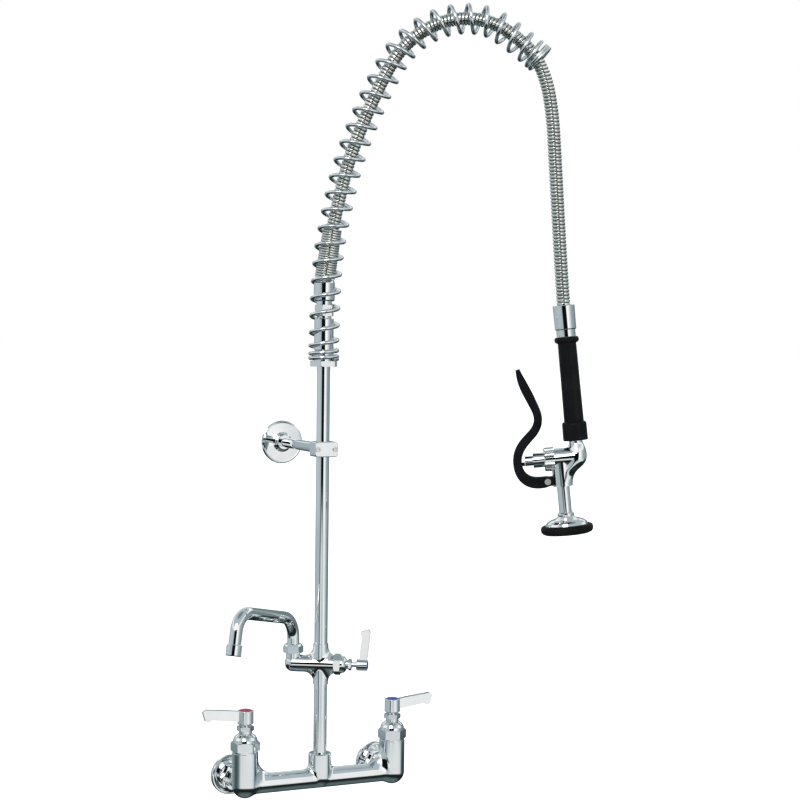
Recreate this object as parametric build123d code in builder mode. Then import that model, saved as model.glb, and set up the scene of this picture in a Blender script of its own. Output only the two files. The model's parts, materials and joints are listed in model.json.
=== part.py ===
from build123d import *
import math
import os
from dataclasses import dataclass

os.makedirs("parts", exist_ok=True)

# Wall-mounted pre-rinse faucet. Frame: origin midway between the two wall inlets, on the wall
# plane; +X to the right, -Y towards the user, +Z up. The riser and the valves stand on one line
# in front of the wall.

# ---------------------------------------------------------------- driving dimensions, mm
INLET_SPACING = 203.2        # 8 in between the inlets
AXIS_Y = -61.0               # riser and valve axes, in front of the wall
BARREL_R = 16.6
BARREL_TOP = 43.5
TUBE_R = 12.5                # cross tube of the base
BOSS_R = 14.8
BOSS_TOP = 33.0
PIPE_R = 8.55                # 3/8 in pipe
PIPE_BORE_R = 6.2
ADDON_Z = 148.0              # axis of the add-on faucet
ADDON_TURN = -30.0           # its heading about the riser, degrees
ADDON_BODY_R = 10.9
SPOUT_OFFSET = -36.0         # spout socket, along the add-on axis
SPOUT_HEADING = -140.0       # degrees about +Z
SPOUT_R = 7.9
SPOUT_REACH = 145.5
SPOUT_BENDS = ((0, 205.5), (137.0, 232.0))
RISER_TOP = 533.0
BRACKET_Z = 425.0
BRACKET_REACH = 152.0        # riser axis to the bracket's wall face
SEAT_Z = 530.5               # underside of the spring seat nut
ARCH_HEADING = -28.0         # plane of the gooseneck about +Z, degrees
TOOL_TILT = 6.0              # the spray valve hangs this far off plumb, degrees
HOSE_R = 8.5
HOSE_BORE_R = 6.2
SPRING_R = 19.75             # outside of the overhead spring
SPRING_SHELL = 0.67          # wall that holds the same steel as the coiled wire
FIT = 0.05                   # radial running clearance
GAP = 0.3                    # clearance between pieces that move past each other

arch_dir = Vector(math.cos(math.radians(ARCH_HEADING)), math.sin(math.radians(ARCH_HEADING)), 0)
riser_foot = Vector(0, AXIS_Y, 0)


def arch_point(reach, height):
    """A point in the gooseneck's plane, by its distance from the riser axis and its height."""
    return riser_foot + arch_dir * reach + Vector(0, 0, height)


def heading(degrees):
    return Vector(math.cos(math.radians(degrees)), math.sin(math.radians(degrees)), 0)


# ---------------------------------------------------------------- frames of the assemblies
riser = Plane(origin=(0, AXIS_Y, 0), x_dir=(1, 0, 0), z_dir=(0, 0, 1))
hot = Plane(origin=(-INLET_SPACING / 2, AXIS_Y, 0), x_dir=(-1, 0, 0), z_dir=(0, 0, 1))
cold = Plane(origin=(INLET_SPACING / 2, AXIS_Y, 0), x_dir=(1, 0, 0), z_dir=(0, 0, 1))
addon = Plane(origin=(0, AXIS_Y, ADDON_Z), x_dir=(0, 0, 1), z_dir=heading(ADDON_TURN))
spout_foot = Vector(0, AXIS_Y, 0) + heading(ADDON_TURN) * SPOUT_OFFSET
spout = Plane(origin=spout_foot, x_dir=heading(SPOUT_HEADING), z_dir=(0, 0, 1))
bracket = Plane(origin=(0, AXIS_Y, BRACKET_Z), x_dir=(1, 0, 0), z_dir=(0, 1, 0))
tilt = math.radians(TOOL_TILT)
tool = Plane(
    origin=arch_point(304.5, 612),
    x_dir=arch_dir * math.cos(tilt) + Vector(0, 0, math.sin(tilt)),
    z_dir=arch_dir * -math.sin(tilt) + Vector(0, 0, math.cos(tilt)),
)


def side(frame):
    """The plane through a frame's x and z axes: sketch x is the frame's x, sketch y its z."""
    return Plane(origin=frame.origin, x_dir=frame.x_dir, z_dir=-frame.y_dir)


def station(frame, x=0, y=0, z=0):
    """The frame moved to a point given in its own coordinates."""
    place = frame.origin + frame.x_dir * x + frame.y_dir * y + frame.z_dir * z
    return Plane(origin=place, x_dir=frame.x_dir, z_dir=frame.z_dir)


def turn(frame, *outline, mode=Mode.ADD):
    """A lathe shape about the frame's z axis, from its (radius, height) outline."""
    with BuildSketch(side(frame)) as half:
        with BuildLine():
            Polyline(*outline, close=True)
        make_face()
    revolve(half.sketch, axis=Axis(frame.origin, frame.z_dir), mode=mode)


def rod(frame, radius, low, high, mode=Mode.ADD):
    """A round bar or bore about the frame's z axis."""
    with BuildSketch(station(frame, z=low)) as disc:
        Circle(radius)
    extrude(disc.sketch, amount=high - low, mode=mode)


def hexagon(frame, across_flats, low, high, mode=Mode.ADD, heading=0.0):
    with BuildSketch(station(frame, z=low)) as flats:
        RegularPolygon(across_flats / 2, 6, major_radius=False, rotation=heading)
    extrude(flats.sketch, amount=high - low, mode=mode)


def chamfered_hexagon(frame, across_flats, low, high, bevel, heading=0.0):
    """A hexagon nut whose corners are turned down at both ends."""
    corner = across_flats / 2 / math.cos(math.radians(30))
    hexagon(frame, across_flats, low, high, heading=heading)
    turn(
        frame,
        (0, low), (corner - bevel, low), (corner + 0.01, low + bevel * 0.58),
        (corner + 0.01, high - bevel * 0.58), (corner - bevel, high), (0, high),
        mode=Mode.INTERSECT,
    )


def save(piece, name):
    piece.part.label = name
    export_step(piece.part, f"parts/{name}.step")


# ---------------------------------------------------------------- base with its two valves
WATERWAY_R = 8.0
VALVE_BORE_R = 10.8
SHANK_R = 11.6
SHANK_END = -27.0            # y where the inlet shank meets its coupling nut
INLET_BORE_R = 9.3           # 1/2 in pipe thread
BOSS_BULB_Z = 2.2
BOSS_FILLET = 8
BARREL_FILLET = 22


def edges_within(piece, near, far):
    """The edges below the rims whose middles lie between two distances from the riser plane."""
    return piece.edges().filter_by(
        lambda e: near <= abs(e.center().X) < far and abs(e.center().Z) < 26
    )


with BuildPart() as base_body:
    for valve in (hot, cold):
        rod(valve, BARREL_R, 0, BARREL_TOP - 2)
        with Locations(valve.origin):
            Sphere(BARREL_R)
    cross = Plane(origin=hot.origin, x_dir=(0, 0, 1), z_dir=(1, 0, 0))
    rod(cross, TUBE_R, 0, INLET_SPACING)
    rod(riser, BOSS_R, BOSS_BULB_Z, BOSS_TOP)
    with Locations(riser.origin + Vector(0, 0, BOSS_BULB_Z)):
        Sphere(BOSS_R)
    fillet(edges_within(base_body, 0, BOSS_R + 4), BOSS_FILLET)
    fillet(edges_within(base_body, INLET_SPACING / 2 - 20, INLET_SPACING / 2 - 1), BARREL_FILLET)
    for valve in (hot, cold):
        rod(valve, BARREL_R - 0.9, BARREL_TOP - 2, BARREL_TOP)
    for valve in (hot, cold):
        shank = Plane(origin=valve.origin, x_dir=(1, 0, 0), z_dir=(0, 1, 0))
        rod(shank, SHANK_R, 0, SHANK_END - AXIS_Y)
        rod(shank, WATERWAY_R, 0, SHANK_END - AXIS_Y, mode=Mode.SUBTRACT)
        rod(valve, VALVE_BORE_R, 0, BARREL_TOP, mode=Mode.SUBTRACT)
    rod(cross, WATERWAY_R, 0, INLET_SPACING, mode=Mode.SUBTRACT)
    rod(riser, PIPE_R, 12, BOSS_TOP, mode=Mode.SUBTRACT)
    rod(riser, PIPE_BORE_R, 0, 12, mode=Mode.SUBTRACT)
    top_rim = base_body.edges().filter_by(GeomType.CIRCLE).filter_by(
        lambda e: abs(e.center().Z - BOSS_TOP) < 0.1 and e.radius > PIPE_R + 1
    )
    chamfer(top_rim, 1.2)
save(base_body, "base_body")


def inlet_flange(valve):
    """The round wall plate: a rolled rim round a dished face that is open to the front."""
    wall = Plane(origin=(valve.origin.X, 0, 0), x_dir=(1, 0, 0), z_dir=(0, -1, 0))
    with BuildPart() as piece:
        turn(
            wall,
            (14.6, 0), (25.5, 0), (25.5, 4.5), (24.4, 5.9), (22.9, 6.0), (21.8, 4.6),
            (18.6, 2.6), (14.6, 1.8),
        )
    return piece


def coupling_nut(valve):
    """The hexagon coupling between the supply thread in the wall and the inlet shank."""
    wall = Plane(origin=(valve.origin.X, 0, 0), x_dir=(1, 0, 0), z_dir=(0, -1, 0))
    with BuildPart() as piece:
        chamfered_hexagon(wall, 29, 8, 24, 1.6)
        rod(wall, 14.3, 0, 8)
        rod(wall, 13.6, 24, -SHANK_END)
        rod(wall, INLET_BORE_R, 0, -SHANK_END, mode=Mode.SUBTRACT)
    return piece


hot_inlet_flange = inlet_flange(hot)
cold_inlet_flange = inlet_flange(cold)
hot_coupling_nut = coupling_nut(hot)
cold_coupling_nut = coupling_nut(cold)
save(hot_inlet_flange, "hot_inlet_flange")
save(cold_inlet_flange, "cold_inlet_flange")
save(hot_coupling_nut, "hot_coupling_nut")
save(cold_coupling_nut, "cold_coupling_nut")


@dataclass
class Valve:
    """Heights above the valve's centre and sizes of the pieces stacked on its axis."""

    seat: float
    flats: float
    hex_height: float
    dome_r: float
    dome_height: float
    nut_flats: float
    nut_height: float
    stem_r: float
    hub_low: float
    hub_r: float
    hub_height: float
    index_r: float
    lever_length: float
    lever_height: float
    lever_thick: float
    spigot_r: float
    spigot_depth: float
    stem_foot: float
    flat_heading: float

    @property
    def nut_low(self):
        return self.seat + self.hex_height + self.dome_height

    @property
    def nut_high(self):
        return self.nut_low + self.nut_height

    @property
    def hub_high(self):
        return self.hub_low + self.hub_height


MAIN = Valve(
    seat=BARREL_TOP, flats=32.4, hex_height=12.3, dome_r=15.6, dome_height=10.4,
    nut_flats=19.2, nut_height=9.3, stem_r=4.3, hub_low=78.3, hub_r=10.2, hub_height=17,
    index_r=7.6, lever_length=57, lever_height=13.2, lever_thick=6.4,
    spigot_r=10.5, spigot_depth=20, stem_foot=13, flat_heading=-20.0,
)
SMALL = Valve(
    seat=17.3, flats=24, hex_height=9.1, dome_r=11.4, dome_height=7.4,
    nut_flats=13.4, nut_height=6.2, stem_r=3.2, hub_low=46.6, hub_r=7.3, hub_height=13.8,
    index_r=5.1, lever_length=46, lever_height=10.2, lever_thick=5.2,
    spigot_r=7.7, spigot_depth=9, stem_foot=4, flat_heading=0.0,
)


def bonnet(frame, v):
    """Hexagon and dome in one piece, with the spigot that screws into the barrel."""
    with BuildPart() as piece:
        chamfered_hexagon(
            frame, v.flats, v.seat, v.seat + v.hex_height, 2.4, heading=v.flat_heading
        )
        low = v.seat + v.hex_height
        turn(
            frame,
            (0, low), (v.dome_r, low), (v.dome_r * 0.985, low + v.dome_height * 0.3),
            (v.dome_r * 0.88, low + v.dome_height * 0.62),
            (v.dome_r * 0.70, low + v.dome_height * 0.86),
            (v.dome_r * 0.52, v.nut_low), (0, v.nut_low),
        )
        rod(frame, v.spigot_r, v.seat - v.spigot_depth, v.seat)
        rod(frame, v.stem_r + FIT, v.seat - v.spigot_depth, v.nut_low, mode=Mode.SUBTRACT)
    return piece


def packing_nut(frame, v):
    with BuildPart() as piece:
        waist = v.nut_low + v.nut_height * 0.38
        chamfered_hexagon(
            frame, v.nut_flats, waist, v.nut_high, 1.2, heading=v.flat_heading
        )
        rod(frame, v.nut_flats * 0.44, v.nut_low, waist)
        rod(frame, v.stem_r + FIT, v.nut_low, v.nut_high, mode=Mode.SUBTRACT)
    return piece


def stem(frame, v):
    """The turning spindle, with the disc that carries the seat washer at its foot."""
    with BuildPart() as piece:
        rod(frame, v.stem_r, v.stem_foot, v.hub_high - 4.5)
        rod(frame, v.spigot_r * 0.82, v.stem_foot, v.stem_foot + 3)
        rod(frame, v.stem_r * 0.45, v.hub_high - 12, v.hub_high - 4.5, mode=Mode.SUBTRACT)
    return piece


def seat_washer(frame, v):
    with BuildPart() as piece:
        rod(frame, v.spigot_r * 0.72, v.stem_foot - 2.4, v.stem_foot)
        rod(frame, v.stem_r * 0.5, v.stem_foot - 2.4, v.stem_foot, mode=Mode.SUBTRACT)
    return piece


def handle(frame, v):
    """A round hub with an upright flat lever that rises outwards to a hooked tip."""
    with BuildPart() as piece:
        rod(frame, v.hub_r, v.hub_low, v.hub_high)
        fillet(piece.edges().filter_by(GeomType.CIRCLE), 0.8)
        k = v.lever_length / 57
        root = v.hub_high - v.lever_height * 1.02
        with BuildSketch(side(frame)) as blade:
            with BuildLine():
                Spline(
                    (v.hub_r * 0.6, v.hub_high - 0.9), (24 * k, v.hub_high + 1.6 * k),
                    (40 * k, v.hub_high + 3.2 * k), (53 * k, v.hub_high + 4.6 * k),
                )
                Line((53 * k, v.hub_high + 4.6 * k), (57 * k, v.hub_high + 1.6 * k))
                Line((57 * k, v.hub_high + 1.6 * k), (53.4 * k, v.hub_high - 9.8 * k))
                Line((53.4 * k, v.hub_high - 9.8 * k), (49 * k, v.hub_high - 11.2 * k))
                Line((49 * k, v.hub_high - 11.2 * k), (45.4 * k, v.hub_high - 8.8 * k))
                Spline(
                    (45.4 * k, v.hub_high - 8.8 * k), (28 * k, v.hub_high - 11 * k),
                    (v.hub_r * 0.6, root),
                )
                Line((v.hub_r * 0.6, root), (v.hub_r * 0.6, v.hub_high - 0.9))
            make_face()
        extrude(blade.sketch, amount=v.lever_thick / 2, both=True)
        rod(frame, v.stem_r, v.hub_low, v.hub_high - 4.5, mode=Mode.SUBTRACT)
        rod(frame, v.index_r, v.hub_high - 2.0, v.hub_high + 6, mode=Mode.SUBTRACT)
        rod(frame, v.stem_r * 0.95, v.hub_high - 4.5, v.hub_high - 2.0, mode=Mode.SUBTRACT)
    return piece


def handle_screw(frame, v):
    with BuildPart() as piece:
        rod(frame, v.stem_r * 0.45, v.hub_high - 11, v.hub_high - 4.5)
        rod(frame, v.stem_r * 0.9, v.hub_high - 4.5, v.hub_high - 2.4)
        with BuildSketch(station(frame, z=v.hub_high - 3.4)) as slot:
            Rectangle(v.stem_r * 1.5, 0.9)
        extrude(slot.sketch, amount=1.0, mode=Mode.SUBTRACT)
    return piece


def index_button(frame, v):
    with BuildPart() as piece:
        turn(
            frame,
            (0, v.hub_high - 2.0), (v.index_r, v.hub_high - 2.0), (v.index_r, v.hub_high + 0.4),
            (v.index_r - 0.8, v.hub_high + 1.0), (0, v.hub_high + 1.3),
        )
    return piece


MAKERS = {
    "bonnet": bonnet, "packing_nut": packing_nut, "stem": stem, "seat_washer": seat_washer,
    "handle": handle, "handle_screw": handle_screw, "index_button": index_button,
}
for side_name, frame, sizes in (("hot", hot, MAIN), ("cold", cold, MAIN), ("addon", addon, SMALL)):
    for piece_name, make in MAKERS.items():
        save(make(frame, sizes), f"{side_name}_{piece_name}")

# ---------------------------------------------------------------- riser and add-on faucet
NIPPLE_TOP = 130.0
SOCKET_R = 9.8
CAST_FILLET = 12.0
SOCKET_LOW = 122.0
SOCKET_HIGH = 174.0
SPOUT_NUT_LOW = 161.7
SPOUT_NUT_HIGH = 173.2

with BuildPart() as lower_nipple:
    rod(riser, PIPE_R, 12, NIPPLE_TOP)
    rod(riser, PIPE_BORE_R, 12, NIPPLE_TOP, mode=Mode.SUBTRACT)
save(lower_nipple, "lower_nipple")

with BuildPart() as addon_body:
    rod(addon, ADDON_BODY_R, SPOUT_OFFSET, SMALL.seat + 14)
    rod(riser, SOCKET_R, SOCKET_LOW, SOCKET_HIGH)
    crossings = addon_body.edges().filter_by(
        lambda e: e.geom_type not in (GeomType.LINE, GeomType.CIRCLE)
    )
    fillet(crossings, CAST_FILLET)
    rod(addon, ADDON_BODY_R + 6, SMALL.seat, SMALL.seat + 14, mode=Mode.SUBTRACT)
    rod(spout, 9.2, ADDON_Z, SPOUT_NUT_LOW)
    with Locations(spout_foot + Vector(0, 0, ADDON_Z)):
        Sphere(ADDON_BODY_R)
    rod(addon, SMALL.spigot_r + 0.2, 0.6, SMALL.seat, mode=Mode.SUBTRACT)
    rod(addon, 5.5, SPOUT_OFFSET, 0.6, mode=Mode.SUBTRACT)
    rod(riser, PIPE_R, SOCKET_LOW, NIPPLE_TOP, mode=Mode.SUBTRACT)
    rod(riser, PIPE_BORE_R, NIPPLE_TOP, SOCKET_HIGH - 8, mode=Mode.SUBTRACT)
    rod(riser, PIPE_R, SOCKET_HIGH - 8, SOCKET_HIGH, mode=Mode.SUBTRACT)
    rod(spout, 5.5, ADDON_Z, SPOUT_NUT_LOW, mode=Mode.SUBTRACT)
save(addon_body, "addon_body")

with BuildPart() as riser_pipe:
    rod(riser, PIPE_R, SOCKET_HIGH - 8, RISER_TOP)
    rod(riser, PIPE_BORE_R, SOCKET_HIGH - 8, RISER_TOP, mode=Mode.SUBTRACT)
save(riser_pipe, "riser_pipe")

# ---------------------------------------------------------------- swinging spout
COLLAR_LOW = 181.0
COLLAR_HIGH = 196.0
SPOUT_BORE_R = 5.9

with BuildPart() as spout_nut:
    chamfered_hexagon(spout, 23.0, SPOUT_NUT_LOW, SPOUT_NUT_HIGH - 2.6, 1.2)
    turn(
        spout,
        (0, SPOUT_NUT_HIGH - 2.6), (12.2, SPOUT_NUT_HIGH - 2.6), (11.2, SPOUT_NUT_HIGH - 0.8),
        (9.6, SPOUT_NUT_HIGH), (0, SPOUT_NUT_HIGH),
    )
    rod(spout, SPOUT_R + FIT, SPOUT_NUT_LOW + 4, SPOUT_NUT_HIGH, mode=Mode.SUBTRACT)
    rod(spout, 9.6, SPOUT_NUT_LOW, SPOUT_NUT_LOW + 4, mode=Mode.SUBTRACT)
save(spout_nut, "spout_nut")

with BuildPart() as spout_swivel_ring:
    rod(spout, 9.3, SPOUT_NUT_LOW + 0.4, SPOUT_NUT_LOW + 3.6)
    rod(spout, SPOUT_R, SPOUT_NUT_LOW + 0.4, SPOUT_NUT_LOW + 3.6, mode=Mode.SUBTRACT)
save(spout_swivel_ring, "spout_swivel_ring")

with BuildPart() as spout_tube:
    with BuildLine(side(spout)) as spout_path:
        FilletPolyline(
            (0, SPOUT_NUT_LOW + 0.4), *SPOUT_BENDS, (SPOUT_REACH, COLLAR_HIGH - 2),
            radius=[30, 24],
        )
    with BuildSketch(station(spout, z=SPOUT_NUT_LOW + 0.4)):
        Circle(SPOUT_R)
        Circle(SPOUT_BORE_R, mode=Mode.SUBTRACT)
    sweep()
save(spout_tube, "spout_tube")

outlet_lean = math.degrees(
    math.atan2(SPOUT_REACH - SPOUT_BENDS[1][0], SPOUT_BENDS[1][1] - COLLAR_HIGH + 2)
)
outlet_dir = spout.x_dir * math.sin(math.radians(outlet_lean)) - Vector(0, 0, 1) * math.cos(
    math.radians(outlet_lean)
)
outlet = Plane(
    origin=spout_foot + spout.x_dir * SPOUT_REACH + Vector(0, 0, COLLAR_HIGH - 2),
    x_dir=spout.y_dir,
    z_dir=outlet_dir,
)

with BuildPart() as aerator_housing:
    turn(outlet, (0, 0), (8.6, 0), (9.8, 1.2), (9.8, 13.2), (9.2, 14.2), (0, 14.2))
    rod(outlet, 7.4, 3.5, 14.2, mode=Mode.SUBTRACT)
    rod(outlet, SPOUT_BORE_R, 0, 3.5, mode=Mode.SUBTRACT)
save(aerator_housing, "aerator_housing")

with BuildPart() as aerator_screen:
    rod(outlet, 7.35, 10.8, 13.0)
    with Locations(station(outlet, z=10.8)):
        with PolarLocations(4.6, 8):
            Hole(0.9, depth=6)
        with PolarLocations(2.1, 4):
            Hole(0.8, depth=6)
save(aerator_screen, "aerator_screen")

# ---------------------------------------------------------------- wall bracket on the riser
CLAMP_W = 32.0
CLAMP_H = 19.6
CLAMP_SCREW_X = 11.9
BRACKET_PIPE_R = 6.85        # 1/4 in pipe
CLAMP_BACK = 17.0

with BuildPart() as bracket_flange:
    wall_side = Plane(
        origin=bracket.origin + bracket.z_dir * BRACKET_REACH, x_dir=(1, 0, 0), z_dir=(0, -1, 0)
    )
    turn(
        wall_side,
        (BRACKET_PIPE_R, 0), (28.2, 0), (29.2, 1.0), (29.0, 2.6), (27.6, 3.6), (25.6, 3.2),
        (13.5, 4.2), (11.2, 5.6), (10.4, 10.5), (9.2, 12.0), (BRACKET_PIPE_R, 12.0),
    )
save(bracket_flange, "bracket_flange")

with BuildPart() as bracket_nipple:
    rod(bracket, BRACKET_PIPE_R, 12.0, BRACKET_REACH - 0.5)
    rod(bracket, 4.6, 12.0, BRACKET_REACH - 0.5, mode=Mode.SUBTRACT)
save(bracket_nipple, "bracket_nipple")

with BuildPart() as clamp_rear:
    with BuildSketch(station(bracket, z=0.4)):
        RectangleRounded(CLAMP_W - 2, CLAMP_H, 3)
    extrude(amount=7.6)
    rod(bracket, 9.6, 8.0, CLAMP_BACK)
    chamfer(clamp_rear.edges().group_by(Axis.Y)[-1], 0.8)
    rod(bracket, BRACKET_PIPE_R, 12.0, CLAMP_BACK, mode=Mode.SUBTRACT)
    rod(riser, PIPE_R, BRACKET_Z - 15, BRACKET_Z + 15, mode=Mode.SUBTRACT)
    with Locations(station(bracket, x=CLAMP_SCREW_X), station(bracket, x=-CLAMP_SCREW_X)):
        Hole(2.0, depth=20)
save(clamp_rear, "clamp_rear")

with BuildPart() as clamp_front:
    with BuildSketch(station(bracket, z=-14.0)):
        RectangleRounded(CLAMP_W, CLAMP_H, 4)
    extrude(amount=13.6)
    chamfer(clamp_front.edges().group_by(Axis.Y)[0], 1.0)
    rod(riser, PIPE_R, BRACKET_Z - 15, BRACKET_Z + 15, mode=Mode.SUBTRACT)
    with Locations(station(bracket, x=CLAMP_SCREW_X), station(bracket, x=-CLAMP_SCREW_X)):
        Hole(2.1, depth=20)
save(clamp_front, "clamp_front")

with BuildPart() as clamp_screws:
    for sign in (-1, 1):
        axis = station(bracket, x=sign * CLAMP_SCREW_X, z=-15.9)
        rod(axis, 3.4, 0, 1.9)
        rod(axis, 2.0, 1.9, 22.0)
        hexagon(axis, 3.4, 0, 1.2, mode=Mode.SUBTRACT)
save(clamp_screws, "clamp_screws")

# ---------------------------------------------------------------- foot of the gooseneck
SEAT_TOP = SEAT_Z + 7.0
SLEEVE_TOP = 592.0
NUT_LOW = SLEEVE_TOP + GAP
FERRULE_LOW = 614.0
FERRULE_TOP = 641.0
HOSE_FOOT = 622.0            # the hose is crimped into a cup this far down
CUP_R = HOSE_R + 0.9

with BuildPart() as spring_seat_nut:
    chamfered_hexagon(riser, 32.0, SEAT_Z, SEAT_TOP, 1.4)
    rod(riser, PIPE_R, SEAT_Z, RISER_TOP, mode=Mode.SUBTRACT)
    rod(riser, 9.4, RISER_TOP, SEAT_TOP, mode=Mode.SUBTRACT)
save(spring_seat_nut, "spring_seat_nut")

with BuildPart() as adapter_sleeve:
    rod(riser, 9.4, RISER_TOP, SEAT_TOP)
    turn(
        riser,
        (0, SEAT_TOP), (12.4, SEAT_TOP), (12.4, 548), (11.6, 549), (11.6, 551), (12.4, 552),
        (12.4, SLEEVE_TOP - 1), (11.4, SLEEVE_TOP), (0, SLEEVE_TOP),
    )
    rod(riser, PIPE_BORE_R, RISER_TOP, SLEEVE_TOP, mode=Mode.SUBTRACT)
save(adapter_sleeve, "adapter_sleeve")

with BuildPart() as hose_nut:
    chamfered_hexagon(riser, 22.4, NUT_LOW + 2.6, 609.0, 1.2)
    rod(riser, 9.4, NUT_LOW, NUT_LOW + 2.6)
    rod(riser, 9.8, 609.0, FERRULE_LOW)
    rod(riser, PIPE_BORE_R, NUT_LOW, FERRULE_LOW, mode=Mode.SUBTRACT)
save(hose_nut, "hose_nut")

with BuildPart() as lower_ferrule:
    turn(
        riser,
        (0, FERRULE_LOW), (12.6, FERRULE_LOW), (13.4, FERRULE_LOW + 1.5), (13.4, 637),
        (12.0, FERRULE_TOP), (0, FERRULE_TOP),
    )
    rod(riser, PIPE_BORE_R, FERRULE_LOW, HOSE_FOOT, mode=Mode.SUBTRACT)
    rod(riser, CUP_R, HOSE_FOOT, FERRULE_TOP, mode=Mode.SUBTRACT)
save(lower_ferrule, "lower_ferrule")

# ---------------------------------------------------------------- hose and overhead spring
# The hose leaves the ferrule, runs up inside the spring, over the arch, out of the spring's
# mouth and straight down to the spray valve: (reach, height) in the gooseneck's plane.
HOSE_ROUTE = [
    (0, HOSE_FOOT), (0, 655), (14.3, 730), (33, 808), (79.5, 915), (110, 950),
    (148, 970.2), (188, 973.6), (224, 962), (261, 932), (279, 897), (287.5, 850),
    (302.6, 630), (306.6, 592.1),
]
SPLIT_RUN = 8                # the free hose starts half way along this run, inside the mouth
SPRING_ROUTE = [(0, SEAT_TOP + GAP), (0.4, 650)] + HOSE_ROUTE[2 : SPLIT_RUN + 1] + [(272.5, 920)]


def run_length(a, b):
    return math.dist(a, b)


def bend_radii(route):
    """Each corner's arc is as large as its two runs allow."""
    radii = []
    for before, corner, after in zip(route, route[1:], route[2:]):
        into = Vector(corner[0] - before[0], corner[1] - before[1])
        out = Vector(after[0] - corner[0], after[1] - corner[1])
        shorter = min(run_length(before, corner), run_length(corner, after))
        radii.append(0.45 * shorter / math.tan(math.radians(into.get_angle(out)) / 2))
    return radii


def halfway(a, b):
    return ((a[0] + b[0]) / 2, (a[1] + b[1]) / 2)


hose_radii = bend_radii(HOSE_ROUTE)
split_point = halfway(HOSE_ROUTE[SPLIT_RUN], HOSE_ROUTE[SPLIT_RUN + 1])
arch_route = HOSE_ROUTE[: SPLIT_RUN + 1] + [split_point]
drop_route = [split_point] + HOSE_ROUTE[SPLIT_RUN + 1 :]
print("hose bend radii, mm:", [round(r) for r in hose_radii])
print("spring bend radii, mm:", [round(r) for r in bend_radii(SPRING_ROUTE)])


def arch_edge_plane(route):
    """The plane across a route's first run, at its first point."""
    start = arch_point(*route[0])
    ahead = arch_point(*route[1]) - start
    return Plane(origin=start, x_dir=heading(ARCH_HEADING + 90), z_dir=ahead)


def tube_along(route, radii, outer, inner):
    with BuildPart() as piece:
        with BuildLine() as path:
            FilletPolyline(*[arch_point(*p) for p in route], radius=radii)
        with BuildSketch(arch_edge_plane(route)):
            Circle(outer)
            Circle(inner, mode=Mode.SUBTRACT)
        sweep()
    section = math.pi * (outer**2 - inner**2)
    length = path.wires()[0].length
    print(f"tube {length:.1f} mm, volume ratio {piece.part.volume / (section * length):.4f}")
    return piece


hose_arch = tube_along(arch_route, hose_radii[:SPLIT_RUN], HOSE_R, HOSE_BORE_R)
hose_drop = tube_along(drop_route, hose_radii[SPLIT_RUN:], HOSE_R, HOSE_BORE_R)
overhead_spring = tube_along(
    SPRING_ROUTE, bend_radii(SPRING_ROUTE), SPRING_R, SPRING_R - SPRING_SHELL
)
save(hose_arch, "hose_arch")
save(hose_drop, "hose_drop")
save(overhead_spring, "overhead_spring")

guard = Plane(
    origin=arch_point(0.2, FERRULE_TOP),
    x_dir=heading(ARCH_HEADING + 90),
    z_dir=arch_point(9.6, 706) - arch_point(0.2, FERRULE_TOP),
)
GUARD_START = 2.4
GUARD_LENGTH = 65.0
GUARD_BORE_R = HOSE_R + 1.7
GUARD_PITCH = 3.8

with BuildPart() as hose_guard:
    turn(
        guard,
        (GUARD_BORE_R, GUARD_START), (13.0, GUARD_START), (12.0, GUARD_LENGTH),
        (GUARD_BORE_R, GUARD_LENGTH),
    )
    for ring in range(int((GUARD_LENGTH - GUARD_START - 4) / GUARD_PITCH)):
        low = GUARD_START + 3 + ring * GUARD_PITCH
        turn(guard, (11.3, low), (13.5, low), (13.5, low + 1.1), (11.3, low + 1.1),
             mode=Mode.SUBTRACT)
save(hose_guard, "hose_guard")

# ---------------------------------------------------------------- spray valve on the hose
GRIP_TOP = -40.0
GRIP_END = -172.0
STEM_W = -193.0              # axis of the push stem
LEG_U = -21.0                # axis of the nozzle leg
LEG_END = -228.5
PIVOT = (-40.0, -221.0)
STEM_TIP = -66.3

with BuildPart() as hose_end_ferrule:
    turn(
        tool,
        (0, 0), (13.2, 0), (13.9, -1.0), (13.5, -30), (12.8, -31.2), (12.0, -31.4),
        (12.0, GRIP_TOP),
        (0, GRIP_TOP),
    )
    rod(tool, PIPE_BORE_R, GRIP_TOP, -20.2, mode=Mode.SUBTRACT)
    rod(tool, CUP_R, -20.2, 0, mode=Mode.SUBTRACT)
save(hose_end_ferrule, "hose_end_ferrule")

with BuildPart() as grip_adapter:
    rod(tool, 8.2, GRIP_END, GRIP_TOP)
    rod(tool, 5.4, GRIP_END, GRIP_TOP, mode=Mode.SUBTRACT)
save(grip_adapter, "grip_adapter")

with BuildPart() as grip:
    turn(
        tool,
        (8.3, GRIP_TOP - 0.1), (12.9, GRIP_TOP - 0.1), (14.5, -40.8), (15.3, -42.2),
        (15.5, -43.9), (15.3, -45.6), (14.5, -47.0), (12.6, -47.9), (11.7, -48.6),
        (12.6, -147.6), (14.6, -148.6), (15.3, -149.8), (15.6, -151.4), (15.8, -170.6),
        (15.2, GRIP_END + 0.1), (8.3, GRIP_END + 0.1),
    )
save(grip, "grip")

stem_axis = Plane(
    origin=tool.origin + tool.z_dir * STEM_W, x_dir=tool.z_dir, z_dir=tool.x_dir
)
leg = station(tool, x=LEG_U)
pivot_axis = Plane(
    origin=station(tool, x=PIVOT[0], z=PIVOT[1]).origin, x_dir=tool.x_dir, z_dir=tool.y_dir
)
slant = Plane(
    origin=station(tool, x=LEG_U + 0.5, z=-217).origin,
    x_dir=tool.y_dir,
    z_dir=tool.x_dir * 0.5 + tool.z_dir,
)
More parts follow.
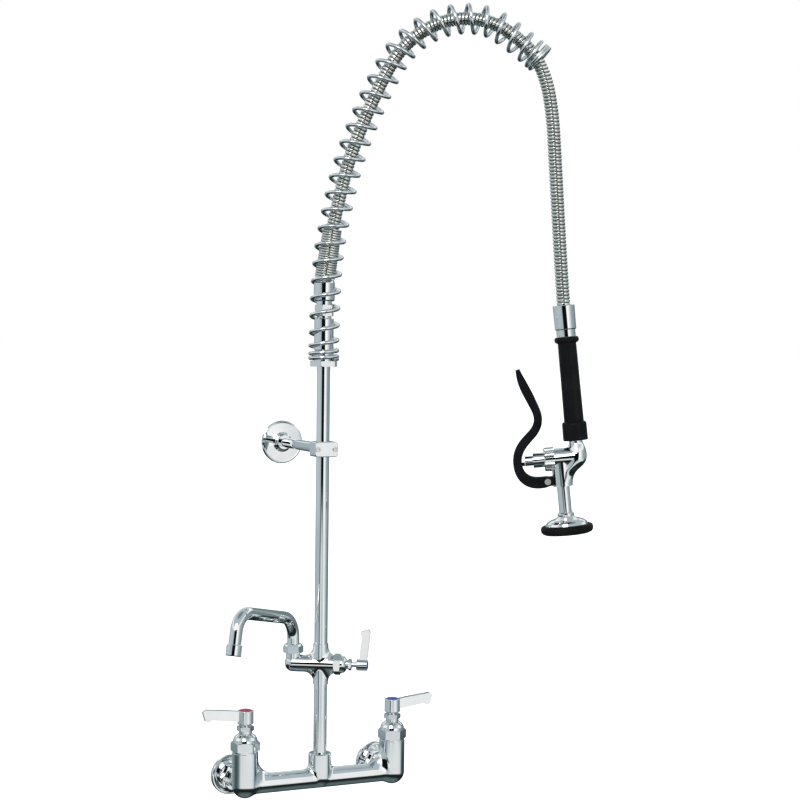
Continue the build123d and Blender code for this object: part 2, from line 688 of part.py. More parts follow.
# the casting runs from the grip to the leg in an S: height, centre and radius of each section
BODY_SECTIONS = [
    (-172.0, 0.0, 8.8), (-178.0, 0.2, 9.8), (-185.0, 0.0, 12.0), (-192.0, -0.8, 13.2),
    (-199.0, -2.8, 13.4), (-205.0, -7.5, 12.8), (-211.0, -14.0, 11.9), (-217.0, -18.3, 12.0),
    (-223.0, -20.4, 12.3), (LEG_END, -21.0, 12.5),
]

with BuildPart() as spray_body:
    for w, u, r in BODY_SECTIONS:
        with BuildSketch(station(tool, x=u, z=w)):
            Circle(r)
    loft()
    rod(stem_axis, 13.0, -29, 0)
    weld = spray_body.edges().filter_by(
        lambda e: e.geom_type == GeomType.BSPLINE
        and (e.center() - tool.origin).dot(tool.x_dir) < 0
        and -215 < (e.center() - tool.origin).dot(tool.z_dir) < -180
    )
    fillet(weld, 4.5)
    rod(leg, 12.4, LEG_END, STEM_W)
    with BuildSketch(side(tool)) as ear:
        with BuildLine():
            Polyline(
                (LEG_U, PIVOT[1] + 7), (PIVOT[0], PIVOT[1] + 6), (PIVOT[0] - 4.6, PIVOT[1] + 3.6),
                (PIVOT[0] - 5.6, PIVOT[1]), (PIVOT[0] - 4.6, PIVOT[1] - 3.6),
                (PIVOT[0], PIVOT[1] - 5.6), (LEG_U, LEG_END + 0.4), close=True,
            )
        make_face()
    extrude(ear.sketch, amount=4.0, both=True)
    rod(stem_axis, 15.6, -44, -29, mode=Mode.SUBTRACT)
    rod(stem_axis, 10.2, -29, 5, mode=Mode.SUBTRACT)
    rod(tool, 5.4, STEM_W, GRIP_END, mode=Mode.SUBTRACT)
    rod(leg, 5.6, LEG_END, -218, mode=Mode.SUBTRACT)
    rod(slant, 5.2, -2, 24, mode=Mode.SUBTRACT)
    rod(pivot_axis, 2.6, -6, 6, mode=Mode.SUBTRACT)
save(spray_body, "spray_body")

with BuildPart() as spray_bonnet:
    with BuildSketch(station(stem_axis, z=-42)) as lobes:
        Circle(11.9)
        with PolarLocations(11.2, 6):
            Circle(4.1)
    extrude(lobes.sketch, amount=13)
    chamfer(spray_bonnet.faces().sort_by(Axis(stem_axis.origin, stem_axis.z_dir))[0].edges(), 1.4)
    rod(stem_axis, 9.4, -56, -42)
    rod(stem_axis, 10.0, -29, -24)
    rod(stem_axis, 6.2 + FIT, -56, -24, mode=Mode.SUBTRACT)
save(spray_bonnet, "spray_bonnet")

with BuildPart() as spray_stem:
    rod(stem_axis, 6.2, STEM_TIP, -26)
    rod(stem_axis, 3.0, -26, -12)
    rod(stem_axis, 8.0, -12, -8)
save(spray_stem, "spray_stem")

with BuildPart() as return_spring:
    foot = station(stem_axis, z=-7.3)
    with BuildLine() as coil:
        Helix(pitch=2.9, height=11.6, radius=5.4, center=foot.origin, direction=foot.z_dir)
    with BuildSketch(Plane(origin=coil.line @ 0, z_dir=coil.line % 0)):
        Circle(0.6)
    sweep()
save(return_spring, "return_spring")

LEVER_LINE = [
    (-65.4, -76.2), (-63.4, -85.2), (-60.4, -94.8), (-54.4, -110), (-49.1, -123.4),
    (-45.4, -136), (-45.8, -145), (-49.5, -153.4), (-59.5, -163.9), (-69.2, -174.2),
    (-74.9, -185.7), (-75.9, -198), (-72.6, -209.6), (-64.4, -218), (-53.4, -221.4), (-40, -221),
]
LEVER_HALF = [2.6, 4.3, 5.5, 5.9, 5.5, 5.3, 5.2, 5.3, 5.5, 5.6, 5.6, 5.6, 6.0, 6.7, 7.0, 6.4]
LEVER_W = 17.0


def lever_edge(sign):
    """One edge of the lever: its centreline moved out by the half thickness at each point."""
    edge = []
    for i, ((x, y), half) in enumerate(zip(LEVER_LINE, LEVER_HALF)):
        before = LEVER_LINE[max(i - 1, 0)]
        after = LEVER_LINE[min(i + 1, len(LEVER_LINE) - 1)]
        run = math.dist(before, after)
        normal = ((before[1] - after[1]) / run, (after[0] - before[0]) / run)
        edge.append((x + sign * half * normal[0], y + sign * half * normal[1]))
    return edge


push_pad = Plane(
    origin=tool.origin + tool.z_dir * (STEM_W - 3.6), x_dir=tool.z_dir, z_dir=tool.x_dir
)

with BuildPart() as spray_lever:
    grip_edge, outer_edge = lever_edge(1), lever_edge(-1)
    with BuildSketch(side(tool)) as strap:
        with BuildLine():
            Spline(*grip_edge)
            Spline(*outer_edge)
            Line(grip_edge[0], outer_edge[0])
            Line(grip_edge[-1], outer_edge[-1])
        make_face()
    extrude(strap.sketch, amount=LEVER_W / 2, both=True)
    rod(pivot_axis, 6.2, -LEVER_W / 2, LEVER_W / 2)
    rod(push_pad, 2.4, -74, STEM_TIP - GAP)
    with BuildSketch(station(tool, z=-245)) as slot:
        with Locations((-38.5, 0)):
            Rectangle(30, 8.6)
    extrude(slot.sketch, amount=38, mode=Mode.SUBTRACT)
    rod(pivot_axis, 2.5 + FIT, -12, 12, mode=Mode.SUBTRACT)
save(spray_lever, "spray_lever")

with BuildPart() as lever_pivot:
    rod(pivot_axis, 2.5, -9.4, 9.4)
    rod(pivot_axis, 4.0, -10.6, -LEVER_W / 2 - GAP)
    rod(pivot_axis, 4.0, LEVER_W / 2 + GAP, 10.6)
    with BuildSketch(station(pivot_axis, z=-10.6)) as drive:
        Rectangle(5.4, 1.0)
    extrude(drive.sketch, amount=0.8, mode=Mode.SUBTRACT)
save(lever_pivot, "lever_pivot")

BELL_TOP = -262.0
BELL_RIM = -280.0

with BuildPart() as nozzle_tube:
    rod(leg, 8.1, BELL_TOP, LEG_END)
    rod(leg, 5.4, BELL_TOP, LEG_END, mode=Mode.SUBTRACT)
save(nozzle_tube, "nozzle_tube")

with BuildPart() as spray_bell:
    turn(
        leg,
        (5.4, BELL_TOP), (9.2, BELL_TOP), (10.3, -263.0), (10.6, -264.6), (10.5, -267.0),
        (11.4, -268.4), (14.6, -269.6), (19.2, -270.9), (23.2, -272.7), (25.9, -275.0),
        (27.2, -277.8), (27.2, BELL_RIM), (24.6, BELL_RIM), (22.0, -276.2), (17.6, -273.8),
        (11.4, -272.0), (5.4, -271.2),
    )
save(spray_bell, "spray_bell")

with BuildPart() as spray_face:
    rod(leg, 23.6, -284.2, BELL_RIM)
    with Locations(station(leg, z=-284.2)):
        with PolarLocations(18.5, 16):
            Hole(1.0, depth=8)
        with PolarLocations(11.0, 8):
            Hole(1.0, depth=8)
save(spray_face, "spray_face")

with BuildPart() as bumper:
    turn(
        leg,
        (23.7, BELL_RIM - 0.05), (27.3, BELL_RIM - 0.05), (27.3, -278.0), (30.2, -277.8),
        (32.2, -278.8), (33.2, -280.7), (33.4, -283.2), (32.8, -285.8), (31.0, -288.0),
        (28.4, -289.2), (25.8, -289.0), (24.2, -287.8), (23.7, -286.2),
    )
save(bumper, "bumper")
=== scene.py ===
import json
import math

import bpy
from mathutils import Matrix, Vector

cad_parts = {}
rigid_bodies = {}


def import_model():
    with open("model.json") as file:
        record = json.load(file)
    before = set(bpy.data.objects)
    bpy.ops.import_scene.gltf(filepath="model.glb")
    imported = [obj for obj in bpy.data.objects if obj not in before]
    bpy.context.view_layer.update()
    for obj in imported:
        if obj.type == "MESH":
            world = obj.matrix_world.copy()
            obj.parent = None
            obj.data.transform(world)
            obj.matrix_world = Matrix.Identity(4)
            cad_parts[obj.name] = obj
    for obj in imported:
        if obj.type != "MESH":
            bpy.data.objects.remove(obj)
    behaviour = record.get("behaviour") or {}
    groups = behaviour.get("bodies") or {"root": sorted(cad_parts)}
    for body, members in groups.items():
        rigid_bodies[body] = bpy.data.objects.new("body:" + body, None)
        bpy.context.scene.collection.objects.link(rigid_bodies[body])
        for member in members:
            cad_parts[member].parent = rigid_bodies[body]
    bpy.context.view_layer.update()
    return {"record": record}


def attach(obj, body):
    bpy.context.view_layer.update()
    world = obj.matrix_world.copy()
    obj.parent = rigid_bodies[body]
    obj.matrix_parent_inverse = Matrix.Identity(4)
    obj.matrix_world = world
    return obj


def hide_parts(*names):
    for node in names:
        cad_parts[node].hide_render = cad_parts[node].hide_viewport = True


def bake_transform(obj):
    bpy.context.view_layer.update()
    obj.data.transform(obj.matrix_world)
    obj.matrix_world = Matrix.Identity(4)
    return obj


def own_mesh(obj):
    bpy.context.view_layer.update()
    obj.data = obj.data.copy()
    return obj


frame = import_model()

# ------------------------------------------------------------------ places, in metres
AXIS_Y = -0.061              # riser and valve axes, in front of the wall
ARCH_HEADING = math.radians(-28)
ARCH_DIR = Vector((math.cos(ARCH_HEADING), math.sin(ARCH_HEADING), 0))
UP = Vector((0, 0, 1))


def arch_point(reach, height):
    """A point in the gooseneck's plane, by its distance from the riser axis and its height."""
    return Vector((0, AXIS_Y, 0)) + ARCH_DIR * reach + UP * height


# ------------------------------------------------------------------ camera
CAMERA_AT = Vector((-0.841, -2.170, 0.5727))
CAMERA_HEADING = math.radians(24.22)
CAMERA_PITCH = math.radians(-2.12)
CAMERA_ROLL = math.radians(0.65)
CAMERA_LENS = 79.8


def make_camera():
    ahead = Vector((
        math.sin(CAMERA_HEADING) * math.cos(CAMERA_PITCH),
        math.cos(CAMERA_HEADING) * math.cos(CAMERA_PITCH),
        math.sin(CAMERA_PITCH),
    ))
    level = Vector((math.cos(CAMERA_HEADING), -math.sin(CAMERA_HEADING), 0))
    above = level.cross(ahead)
    right = level * math.cos(CAMERA_ROLL) + above * math.sin(CAMERA_ROLL)
    above = above * math.cos(CAMERA_ROLL) - level * math.sin(CAMERA_ROLL)
    data = bpy.data.cameras.new("camera")
    data.lens = CAMERA_LENS
    data.sensor_width = 36
    data.clip_end = 50
    camera = bpy.data.objects.new("camera", data)
    turn = Matrix((right, above, -ahead)).transposed()
    camera.matrix_world = Matrix.Translation(CAMERA_AT) @ turn.to_4x4()
    bpy.context.scene.collection.objects.link(camera)
    bpy.context.scene.camera = camera


make_camera()

# ------------------------------------------------------------------ hose and spring routes
HOSE_ARCH_ROUTE = [
    (0, 0.622), (0, 0.655), (0.0143, 0.730), (0.033, 0.808), (0.0795, 0.915),
    (0.110, 0.950), (0.148, 0.9702), (0.188, 0.9736), (0.224, 0.962), (0.2425, 0.947),
]
HOSE_DROP_ROUTE = [
    (0.2425, 0.947), (0.261, 0.932), (0.279, 0.897), (0.2875, 0.850), (0.291, 0.7986),
    (0.3026, 0.630), (0.3066, 0.5921),
]
SPRING_ROUTE = [
    (0, 0.5378), (0.0004, 0.650), (0.0143, 0.730), (0.033, 0.808), (0.0795, 0.915),
    (0.110, 0.950), (0.148, 0.9702), (0.188, 0.9736), (0.224, 0.962), (0.2725, 0.920),
]
HOSE_R = 0.0085
SPRING_R = 0.01975           # outside of the coil
WIRE_R = 0.00245


def smooth_line(route):
    """Points along the smooth line that a route's corners control."""
    data = bpy.data.curves.new("route", "CURVE")
    data.dimensions = "3D"
    data.resolution_u = 40
    spline = data.splines.new("NURBS")
    spline.points.add(len(route) - 1)
    for point, place in zip(spline.points, route):
        point.co = (*arch_point(*place), 1)
    spline.order_u = 3
    spline.use_endpoint_u = True
    holder = bpy.data.objects.new("route", data)
    mesh = bpy.data.meshes.new_from_object(holder)
    line = [v.co.copy() for v in mesh.vertices]
    bpy.data.objects.remove(holder)
    bpy.data.curves.remove(data)
    bpy.data.meshes.remove(mesh)
    return line


class Line:
    """A path by arc length, with a frame that doesn't twist: it lies in the gooseneck's plane."""

    def __init__(self, points):
        self.points = points
        self.reach = [0.0]
        for a, b in zip(points, points[1:]):
            self.reach.append(self.reach[-1] + (b - a).length)
        self.length = self.reach[-1]
        self.hint = 0

    def at(self, s):
        s = min(max(s, 0.0), self.length)
        while self.hint > 0 and self.reach[self.hint] > s:
            self.hint -= 1
        while self.hint < len(self.reach) - 2 and self.reach[self.hint + 1] < s:
            self.hint += 1
        i = self.hint
        span = self.reach[i + 1] - self.reach[i]
        part = (s - self.reach[i]) / span
        return self.points[i].lerp(self.points[i + 1], part)

    def frame(self, s, reach=0.0015):
        """Place, unit tangent, unit vector out of the arch's plane, and the third one."""
        ahead = (self.at(s + reach) - self.at(s - reach)).normalized()
        across = Vector((-ARCH_DIR.y, ARCH_DIR.x, 0))
        inward = across.cross(ahead).normalized()
        return self.at(s), ahead, across, inward


def mesh_object(name, vertices, faces, material=None):
    mesh = bpy.data.meshes.new(name)
    mesh.from_pydata([tuple(v) for v in vertices], [], faces)
    mesh.validate()
    for polygon in mesh.polygons:
        polygon.use_smooth = True
    piece = bpy.data.objects.new(name, mesh)
    bpy.context.scene.collection.objects.link(piece)
    if material:
        mesh.materials.append(material)
    return piece


def skin(rings, closed_ends=True):
    """Faces for a tube of equal rings of vertices, and one centre vertex at each end."""
    count, around = len(rings), len(rings[0])
    vertices = [v for ring in rings for v in ring]
    faces = []
    for i in range(count - 1):
        for j in range(around):
            k = (j + 1) % around
            faces.append((i * around + j, i * around + k, (i + 1) * around + k, (i + 1) * around + j))
    if closed_ends:
        for i, flip in ((0, True), (count - 1, False)):
            middle = sum(rings[i], Vector()) / around
            vertices.append(middle)
            hub = len(vertices) - 1
            for j in range(around):
                k = (j + 1) % around
                edge = (i * around + j, i * around + k)
                faces.append((edge[1], edge[0], hub) if flip else (edge[0], edge[1], hub))
    return vertices, faces


RIB_BAND = 0.80              # part of a hose's pitch that the round band takes up
RIB_FLATNESS = 4.5           # how flat the band is on top
RIB_SHOULDER = 0.6           # how steeply it falls into the groove


def rib_profile(phase):
    """Height of a rib across one pitch: a round band and a narrow groove."""
    if phase > RIB_BAND:
        return 0.0
    return max(0.0, 1 - abs(2 * phase / RIB_BAND - 1) ** RIB_FLATNESS) ** RIB_SHOULDER


def armoured_tube(name, line, low, high, radius_at, pitch, depth, around=48, steps=20, bore=0):
    """A hose of wound strip: bright bands, with a near-black plate on the groove faces as painted
    shade in the grooves, along a right-handed spiral.
    """
    rings = []
    count = max(4, int((high - low) / pitch * steps))

    def ring_at(s, radius):
        place, _, across, inward = line.frame(s)
        ring = []
        for j in range(around):
            angle = 2 * math.pi * j / around
            ring.append(place + (across * math.cos(angle) + inward * math.sin(angle)) * radius(j))
        return ring

    def ribbed(s):
        return lambda j: radius_at(s) - depth * (1 - rib_profile((s / pitch - j / around) % 1.0))

    if bore:
        rings.append(ring_at(low, lambda j: bore))
    for i in range(count + 1):
        s = low + (high - low) * i / count
        rings.append(ring_at(s, ribbed(s)))
    if bore:
        rings.append(ring_at(high, lambda j: bore))
        rings.append(rings[0])
    vertices, faces = skin(rings, closed_ends=not bore)
    piece = mesh_object(name, vertices, faces)
    piece.data.materials.append(ARMOUR)
    piece.data.materials.append(GROOVE_SHADE)
    first = around if bore else 0
    for k, face in enumerate(piece.data.polygons[first:first + count * around]):
        s = low + (high - low) * (k // around + 0.5) / count
        # groove faces take the near-black plate: painted shade in the grooves
        face.material_index = int((s / pitch - (k % around + 0.5) / around) % 1.0 > RIB_BAND)
    return piece


FIRST_TURN, LAST_TURN = -0.6, 32.4
FOOT_PITCH = 0.0052          # closed at the foot
RISER_PITCH = 0.0219         # open along the riser and up the arch
DROP_PITCH = 0.0198          # a little tighter over the top
TIP_PITCH = 0.0042           # closed again at the tip; these turns sink into each other a little
FOOT_OPENS = (0.2, 3.9)      # the turns over which each pitch passes into the next
TOP_TIGHTENS = (17.5, 25.0)
TIP_CLOSES = (28.5, 31.5)
POINTS_PER_TURN = 44
WIRE_SIDES = 16
END_POINTS = 5               # points over which the wire's end is rounded off
END_SHARE = 0.04             # square of the share of the wire's radius left at its very end
SPRING_PHASE = math.radians(-90)
FRAME_REACH = 0.006          # how far each way the spring's direction is averaged


def eased(value, low, high):
    """0 up to one value, 1 from another, and smooth between."""
    part = min(max((value - low) / (high - low), 0.0), 1.0)
    return part * part * (3 - 2 * part)


def pitch_at(turn):
    """How far along the spring one turn takes the wire."""
    pitch = RISER_PITCH + (DROP_PITCH - RISER_PITCH) * eased(turn, *TOP_TIGHTENS)
    pitch = FOOT_PITCH + (pitch - FOOT_PITCH) * eased(turn, *FOOT_OPENS)
    return pitch + (TIP_PITCH - pitch) * eased(turn, *TIP_CLOSES)


def overhead_spring(line, material):
    """The coiled spring, right-handed, its wire rounded off at both ends."""
    coil_r = SPRING_R - WIRE_R
    count = int((LAST_TURN - FIRST_TURN) * POINTS_PER_TURN)
    step = (LAST_TURN - FIRST_TURN) / count
    centres, axes = [], []
    reach = 0.0
    for i in range(count + 1):
        turn = FIRST_TURN + step * i
        s = min(max(reach, WIRE_R), line.length - WIRE_R)
        reach += pitch_at(turn + step / 2) * step
        place, _, across, inward = line.frame(s, FRAME_REACH)
        angle = SPRING_PHASE - 2 * math.pi * turn
        out = across * math.cos(angle) + inward * math.sin(angle)
        centres.append(place + out * coil_r)
        axes.append(place)
    rings = []
    for i, centre in enumerate(centres):
        before = centres[max(i - 1, 0)]
        after = centres[min(i + 1, count)]
        ahead = (after - before).normalized()
        side = ahead.cross(centre - axes[i]).normalized()
        out = side.cross(ahead).normalized()
        inset = min(i, count - i) / END_POINTS
        radius = WIRE_R * math.sqrt(max(END_SHARE, 1 - max(0.0, 1 - inset) ** 2))
        rings.append([
            centre + (out * math.cos(a) + side * math.sin(a)) * radius
            for a in (2 * math.pi * j / WIRE_SIDES for j in range(WIRE_SIDES))
        ])
    return mesh_object("spring_coil", *skin(rings), material)


# ------------------------------------------------------------------ materials


def new_material(name, colour, metallic=0.0, roughness=0.5):
    material = bpy.data.materials.new(name)
    material.use_nodes = True
    shader = material.node_tree.nodes["Principled BSDF"]
    shader.inputs["Base Color"].default_value = (*colour, 1)
    shader.inputs["Metallic"].default_value = metallic
    shader.inputs["Roughness"].default_value = roughness
    return material, material.node_tree, shader


def noise(tree, scale, detail=4.0, roughness=0.55):
    """A noise texture in object space."""
    nodes, links = tree.nodes, tree.links
    place = nodes.new("ShaderNodeTexCoord")
    texture = nodes.new("ShaderNodeTexNoise")
    texture.inputs["Scale"].default_value = scale
    texture.inputs["Detail"].default_value = detail
    texture.inputs["Roughness"].default_value = roughness
    links.new(place.outputs["Object"], texture.inputs["Vector"])
    return texture.outputs["Fac"]


def spread(tree, value, low, high, from_low=0.3, from_high=0.7):
    """A value stretched from one range to another."""
    ramp = tree.nodes.new("ShaderNodeMapRange")
    ramp.inputs["From Min"].default_value = from_low
    ramp.inputs["From Max"].default_value = from_high
    ramp.inputs["To Min"].default_value = low
    ramp.inputs["To Max"].default_value = high
    tree.links.new(value, ramp.inputs["Value"])
    return ramp.outputs["Result"]


def two_tone(tree, shader, factor, dark, light):
    mix = tree.nodes.new("ShaderNodeMix")
    mix.data_type = "RGBA"
    mix.inputs[6].default_value = (*dark, 1)
    mix.inputs[7].default_value = (*light, 1)
    tree.links.new(factor, mix.inputs[0])
    tree.links.new(mix.outputs[2], shader.inputs["Base Color"])


def bump(tree, shader, height, distance, strength=1.0):
    node = tree.nodes.new("ShaderNodeBump")
    node.inputs["Distance"].default_value = distance
    node.inputs["Strength"].default_value = strength
    tree.links.new(height, node.inputs["Height"])
    tree.links.new(node.outputs["Normal"], shader.inputs["Normal"])


def plated(name, dark, light, rough_low, rough_high, ripple=0.000004):
    """Bright plate: a faint cast ripple and thin smears that dull it in patches."""
    material, tree, shader = new_material(name, light, 1.0, rough_low)
    two_tone(tree, shader, spread(tree, noise(tree, 34, 5), 0, 1), dark, light)
    smear = noise(tree, 90, 6, 0.7)
    tree.links.new(spread(tree, smear, rough_low, rough_high), shader.inputs["Roughness"])
    bump(tree, shader, noise(tree, 60, 2, 0.4), ripple)
    return material


def moulded(name, dark, light, rough_low, rough_high, grain_scale, grain, gloss):
    """Moulded rubber or plastic with a fine pebbled grain and dusty high spots."""
    material, tree, shader = new_material(name, light, 0.0, rough_low)
    shader.inputs["Specular IOR Level"].default_value = gloss
    two_tone(tree, shader, spread(tree, noise(tree, 45, 6), 0, 1), dark, light)
    rub = noise(tree, 160, 4, 0.6)
    tree.links.new(spread(tree, rub, rough_low, rough_high), shader.inputs["Roughness"])
    bump(tree, shader, noise(tree, grain_scale, 3, 0.6), grain)
    return material


def index_material(name, dark, light):
    material, tree, shader = new_material(name, light, 0.0, 0.16)
    two_tone(tree, shader, spread(tree, noise(tree, 220, 3), 0, 1), dark, light)
    tree.links.new(spread(tree, noise(tree, 300, 4), 0.12, 0.24), shader.inputs["Roughness"])
    bump(tree, shader, noise(tree, 500, 2), 0.00001)
    shader.inputs["Coat Weight"].default_value = 0.5
    shader.inputs["Coat Roughness"].default_value = 0.06
    return material


CHROME = plated("chrome_plate", (0.86, 0.885, 0.89), (0.95, 0.96, 0.965), 0.012, 0.045)
SPRING_STEEL = plated("spring_plate", (0.84, 0.87, 0.89), (0.95, 0.965, 0.97), 0.14, 0.22)
SCREW_STEEL = plated("screw_steel", (0.72, 0.71, 0.67), (0.88, 0.87, 0.83), 0.28, 0.40, 0.00001)
ARMOUR = plated("hose_armour", (0.76, 0.78, 0.73), (0.92, 0.93, 0.88), 0.05, 0.12, 0.000003)
# near-black plate for the hose and guard grooves: painted shade, not a liner
GROOVE_SHADE = plated("hose_groove_shade", (0.03, 0.035, 0.035), (0.07, 0.075, 0.07), 0.30, 0.45, 0.00001)
BRASS = plated("turned_brass", (0.55, 0.40, 0.18), (0.74, 0.58, 0.28), 0.18, 0.3, 0.00001)
GRIP_RUBBER = moulded("grip_rubber", (0.003, 0.003, 0.004), (0.008, 0.008, 0.010),
                      0.30, 0.42, 900, 0.00003, 0.10)
LEVER_COAT = moulded("lever_coating", (0.003, 0.003, 0.004), (0.008, 0.009, 0.012),
                     0.26, 0.38, 700, 0.00003, 0.13)
RUBBER = moulded("black_rubber", (0.003, 0.003, 0.003), (0.008, 0.008, 0.008),
                 0.42, 0.58, 1100, 0.00004, 0.10)
RED = index_material("index_red", (0.42, 0.008, 0.05), (0.62, 0.02, 0.09))
BLUE = index_material("index_blue", (0.02, 0.04, 0.45), (0.05, 0.09, 0.66))

BY_SLOT = {
    "chrome": CHROME, "rubber": RUBBER, "grip_rubber": GRIP_RUBBER, "lever_coating": LEVER_COAT,
    "index_red": RED, "index_blue": BLUE, "hose_armour": ARMOUR, "spring_steel": SPRING_STEEL,
    "screw_steel": SCREW_STEEL, "brass": BRASS, "spray_face": RUBBER, "screen": SCREW_STEEL,
}


def dress_cad_nodes():
    """Every CAD piece takes the procedural material of its slot."""
    for entry in frame["record"]["subparts"]:
        piece = bpy.data.objects[entry["node"]]
        piece.data.materials.clear()
        piece.data.materials.append(BY_SLOT[entry["material_slot"]])


dress_cad_nodes()

# ------------------------------------------------------------------ hose
HOSE_PITCH = 0.00446
HOSE_RIB = 0.0012
PATH_STEPS = 120
drop_line = Line(smooth_line(HOSE_DROP_ROUTE))
arch_line = Line(smooth_line(HOSE_ARCH_ROUTE))

hose_drop = armoured_tube(
    "hose_free_length", drop_line, 0, drop_line.length, lambda s: HOSE_R, HOSE_PITCH, HOSE_RIB
)
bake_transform(hose_drop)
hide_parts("hose_drop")
path = [drop_line.at(drop_line.length * i / PATH_STEPS) for i in range(PATH_STEPS + 1)]

hose_arch = armoured_tube(
    "hose_in_spring", arch_line, 0, arch_line.length, lambda s: HOSE_R, HOSE_PITCH, HOSE_RIB
)
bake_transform(hose_arch)
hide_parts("hose_arch")

# ------------------------------------------------------------------ ribbed guard at the hose foot
GUARD_FOOT = arch_point(0.0002, 0.641)
GUARD_AIM = arch_point(0.0096, 0.706)
GUARD_LOW, GUARD_HIGH = 0.0024, 0.065
GUARD_R, GUARD_TAPER, GUARD_BORE = 0.0134, 0.0012, 0.0102
GUARD_PITCH, GUARD_RIB = 0.0031, 0.0009


def guard_radius(s):
    """The guard narrows from foot to top."""
    return GUARD_R - GUARD_TAPER * (s - GUARD_LOW) / (GUARD_HIGH - GUARD_LOW)


guard_line = Line([GUARD_FOOT.lerp(GUARD_AIM, i / 60) for i in range(61)])
guard = armoured_tube(
    "hose_guard_ribs", guard_line, GUARD_LOW, GUARD_HIGH, guard_radius, GUARD_PITCH, GUARD_RIB,
    around=64, bore=GUARD_BORE
)
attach(guard, "hose_swivel")
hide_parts("hose_guard")

# ------------------------------------------------------------------ overhead spring
spring_line = Line(smooth_line(SPRING_ROUTE))
spring = overhead_spring(spring_line, SPRING_STEEL)
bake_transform(spring)
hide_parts("overhead_spring")


# ------------------------------------------------------------------ return spring of the spray valve
TOOL_TILT = math.radians(6)
TOOL_OUT = ARCH_DIR * math.cos(TOOL_TILT) + UP * math.sin(TOOL_TILT)
TOOL_UP = UP * math.cos(TOOL_TILT) - ARCH_DIR * math.sin(TOOL_TILT)
TOOL_ORIGIN = arch_point(0.3045, 0.612)
RETURN_FOOT = TOOL_ORIGIN - TOOL_UP * 0.193 - TOOL_OUT * 0.0073
RETURN_HEIGHT = 0.0116
RETURN_R, RETURN_WIRE_R = 0.0054, 0.0006
RETURN_TURNS, RETURN_POINTS, RETURN_SIDES = 4, 28, 8


def return_coil():
    """Four open turns of wire round the push stem, inside the valve's barrel."""
    side = TOOL_OUT.cross(TOOL_UP)
    rings = []
    count = RETURN_TURNS * RETURN_POINTS
    for i in range(count + 1):
        angle = 2 * math.pi * RETURN_TURNS * i / count
        out = TOOL_UP * math.cos(angle) + side * math.sin(angle)
        centre = RETURN_FOOT + out * RETURN_R + TOOL_OUT * (RETURN_HEIGHT * i / count)
        rings.append([
            centre + (out * math.cos(a) + TOOL_OUT * math.sin(a)) * RETURN_WIRE_R
            for a in (2 * math.pi * j / RETURN_SIDES for j in range(RETURN_SIDES))
        ])
    return mesh_object("return_coil", *skin(rings), SPRING_STEEL)


coil = return_coil()
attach(coil, "spray_drop")
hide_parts("return_spring")
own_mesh(coil)


# ------------------------------------------------------------------ light, floor and surround
FLOOR_Z = -0.16
FLOOR_SIZE = 30              # half the floor's width


def make_floor():
    mesh = bpy.data.meshes.new("floor")
    size = FLOOR_SIZE
    corners = [(-size, -size), (size, -size), (size, size), (-size, size)]
    mesh.from_pydata([(x, y, FLOOR_Z) for x, y in corners], [], [(0, 1, 2, 3)])
    floor = bpy.data.objects.new("floor", mesh)
    bpy.context.scene.collection.objects.link(floor)
    material, tree, shader = new_material("floor_white", (0.9, 0.9, 0.9), 0, 0.7)
    shader.inputs["Emission Color"].default_value = (1, 1, 1, 1)
    shader.inputs["Emission Strength"].default_value = 0.9
    mesh.materials.append(material)
    floor.visible_glossy = False


def ramp_of(tree, value, stops):
    """A colour ramp from a list of (position, colour)."""
    node = tree.nodes.new("ShaderNodeValToRGB")
    tree.links.new(value, node.inputs[0])
    marks = node.color_ramp.elements
    while len(marks) < len(stops):
        marks.new(0.5)
    for mark, (place, colour) in zip(marks, stops):
        mark.position = place
        mark.color = (*colour, 1)
    return node.outputs[0]


# what the studio shows in each compass direction, from +Y towards +X: (degrees, brightness)
ROUND_ABOVE = [
    (0, 0.34), (35, 0.20), (75, 0.22), (98, 0.34), (134, 0.42), (148, 0.72), (160, 0.90),
    (172, 1.05), (183, 1.05), (187, 0.005), (227, 0.005), (232, 0.45), (262, 0.54), (300, 0.58),
    (335, 0.48), (360, 0.34),
]
ROUND_MIDDLE = [
    (0, 0.28), (35, 0.16), (75, 0.18), (98, 0.26), (122, 0.40), (140, 0.66), (158, 0.92),
    (170, 0.82), (184, 0.60), (202, 0.56), (209, 0.84), (219, 0.84), (223, 0.16), (236, 0.14),
    (242, 0.46), (262, 0.48), (300, 0.50), (335, 0.40), (360, 0.28),
]
ROUND_BELOW = [
    (0, 0.14), (60, 0.05), (98, 0.06), (112, 0.30), (122, 0.70), (150, 0.80), (190, 0.78),
    (236, 0.74), (248, 0.42), (262, 0.14), (288, 0.07), (306, 0.16), (332, 0.30), (346, 0.38),
    (360, 0.14),
]

# where each part of the studio gives way to the next, by height from -1 below to 1 overhead
TO_BELOW, TO_MIDDLE, TO_ABOVE = (-0.44, -0.33), (-0.235, -0.205), (-0.13, -0.08)
TO_UNDERNEATH = (-0.70, -0.96)
GAP_TONE, UNDERNEATH_TONE = 0.018, 0.14
OVERHEAD = [((0.30, 0.40), 0.92), ((0.50, 0.60), 0.50), ((0.90, 0.96), 0.24)]


def tinted(value):
    """Middle tones lean to teal and dark tones to green, bright ones stay neutral."""
    lean = max(0.0, 1 - value / 0.85)
    blue = 0.22 * min(1.0, value / 0.3)
    return (value * (1 - 0.34 * lean), value, value * (1 + (blue - 0.06) * lean))


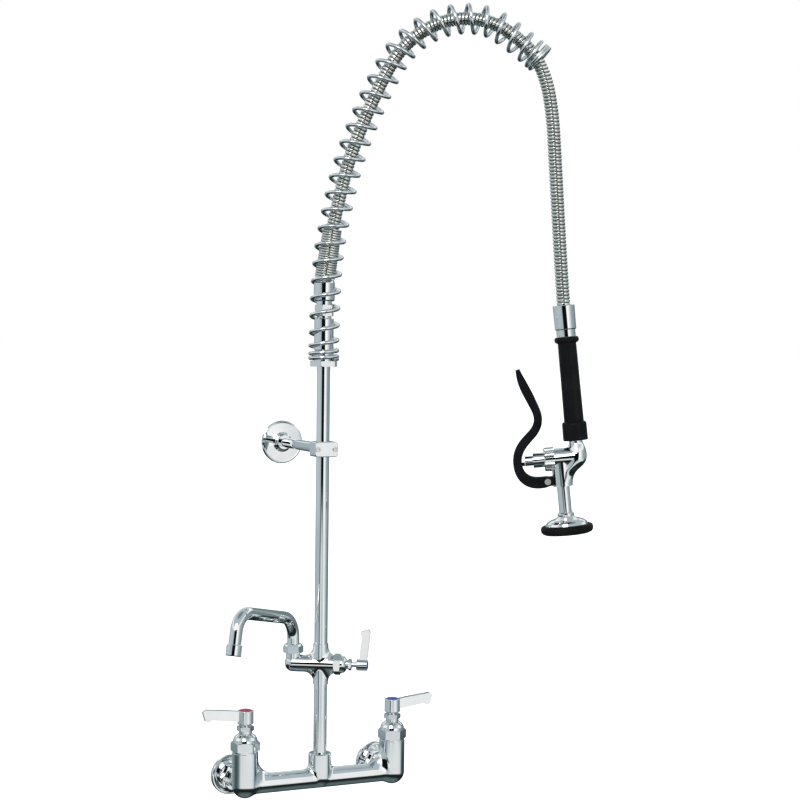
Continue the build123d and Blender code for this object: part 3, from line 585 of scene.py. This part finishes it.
def make_world():
    """A white studio for the eye, with the dark gaps between its panels that chrome shows."""
    world = bpy.data.worlds.new("studio")
    bpy.context.scene.world = world
    world.use_nodes = True
    tree = world.node_tree
    nodes, links = tree.nodes, tree.links
    nodes.clear()
    place = nodes.new("ShaderNodeTexCoord")
    split = nodes.new("ShaderNodeSeparateXYZ")
    links.new(place.outputs["Generated"], split.inputs[0])
    height = split.outputs["Z"]

    def sums(operation, a, b=None):
        node = nodes.new("ShaderNodeMath")
        node.operation = operation
        for socket, value in ((0, a), (1, b)):
            if value is None:
                continue
            if isinstance(value, (int, float)):
                node.inputs[socket].default_value = value
            else:
                links.new(value, node.inputs[socket])
        return node.outputs[0]

    def rise(low, high):
        """0 below one height, 1 above another."""
        node = nodes.new("ShaderNodeMapRange")
        node.interpolation_type = "SMOOTHSTEP"
        node.inputs["From Min"].default_value = low
        node.inputs["From Max"].default_value = high
        links.new(height, node.inputs["Value"])
        return node.outputs["Result"]

    def mixed(factor, a, b):
        node = nodes.new("ShaderNodeMix")
        node.data_type = "RGBA"
        for socket, value in ((6, a), (7, b)):
            if isinstance(value, tuple):
                node.inputs[socket].default_value = (*value, 1)
            else:
                links.new(value, node.inputs[socket])
        links.new(factor, node.inputs[0])
        return node.outputs[2]

    turn = sums("DIVIDE", sums("ARCTAN2", split.outputs["X"], split.outputs["Y"]), 2 * math.pi)
    compass = sums("FRACT", sums("ADD", turn, 1.0))
    above, middle, below = (
        ramp_of(tree, compass, [(degrees / 360, tinted(value)) for degrees, value in rows])
        for rows in (ROUND_ABOVE, ROUND_MIDDLE, ROUND_BELOW)
    )
    shade = mixed(rise(*TO_MIDDLE), below, middle)
    shade = mixed(rise(*TO_ABOVE), shade, above)
    shade = mixed(rise(*TO_BELOW), tinted(GAP_TONE), shade)
    shade = mixed(rise(*TO_UNDERNEATH), shade, tinted(UNDERNEATH_TONE))
    for band, tone in OVERHEAD:
        shade = mixed(rise(*band), shade, tinted(tone))
    seen = nodes.new("ShaderNodeBackground")
    seen.inputs["Color"].default_value = (1, 1, 1, 1)
    mirrored = nodes.new("ShaderNodeBackground")
    links.new(shade, mirrored.inputs["Color"])
    rays = nodes.new("ShaderNodeLightPath")
    choose = nodes.new("ShaderNodeMixShader")
    links.new(rays.outputs["Is Camera Ray"], choose.inputs[0])
    links.new(mirrored.outputs[0], choose.inputs[1])
    links.new(seen.outputs[0], choose.inputs[2])
    out = nodes.new("ShaderNodeOutputWorld")
    links.new(choose.outputs[0], out.inputs["Surface"])


def area_light(name, place, target, size, power):
    data = bpy.data.lights.new(name, "AREA")
    data.shape = "RECTANGLE"
    data.size, data.size_y = size
    data.energy = power
    lamp = bpy.data.objects.new(name, data)
    lamp.location = place
    lamp.rotation_euler = (Vector(target) - Vector(place)).to_track_quat("-Z", "Y").to_euler()
    bpy.context.scene.collection.objects.link(lamp)


make_floor()
make_world()
area_light("key", (-1.6, -2.2, 2.0), (0, 0, 0.45), (1.4, 1.4), 22)
bpy.context.scene.view_settings.view_transform = "Standard"
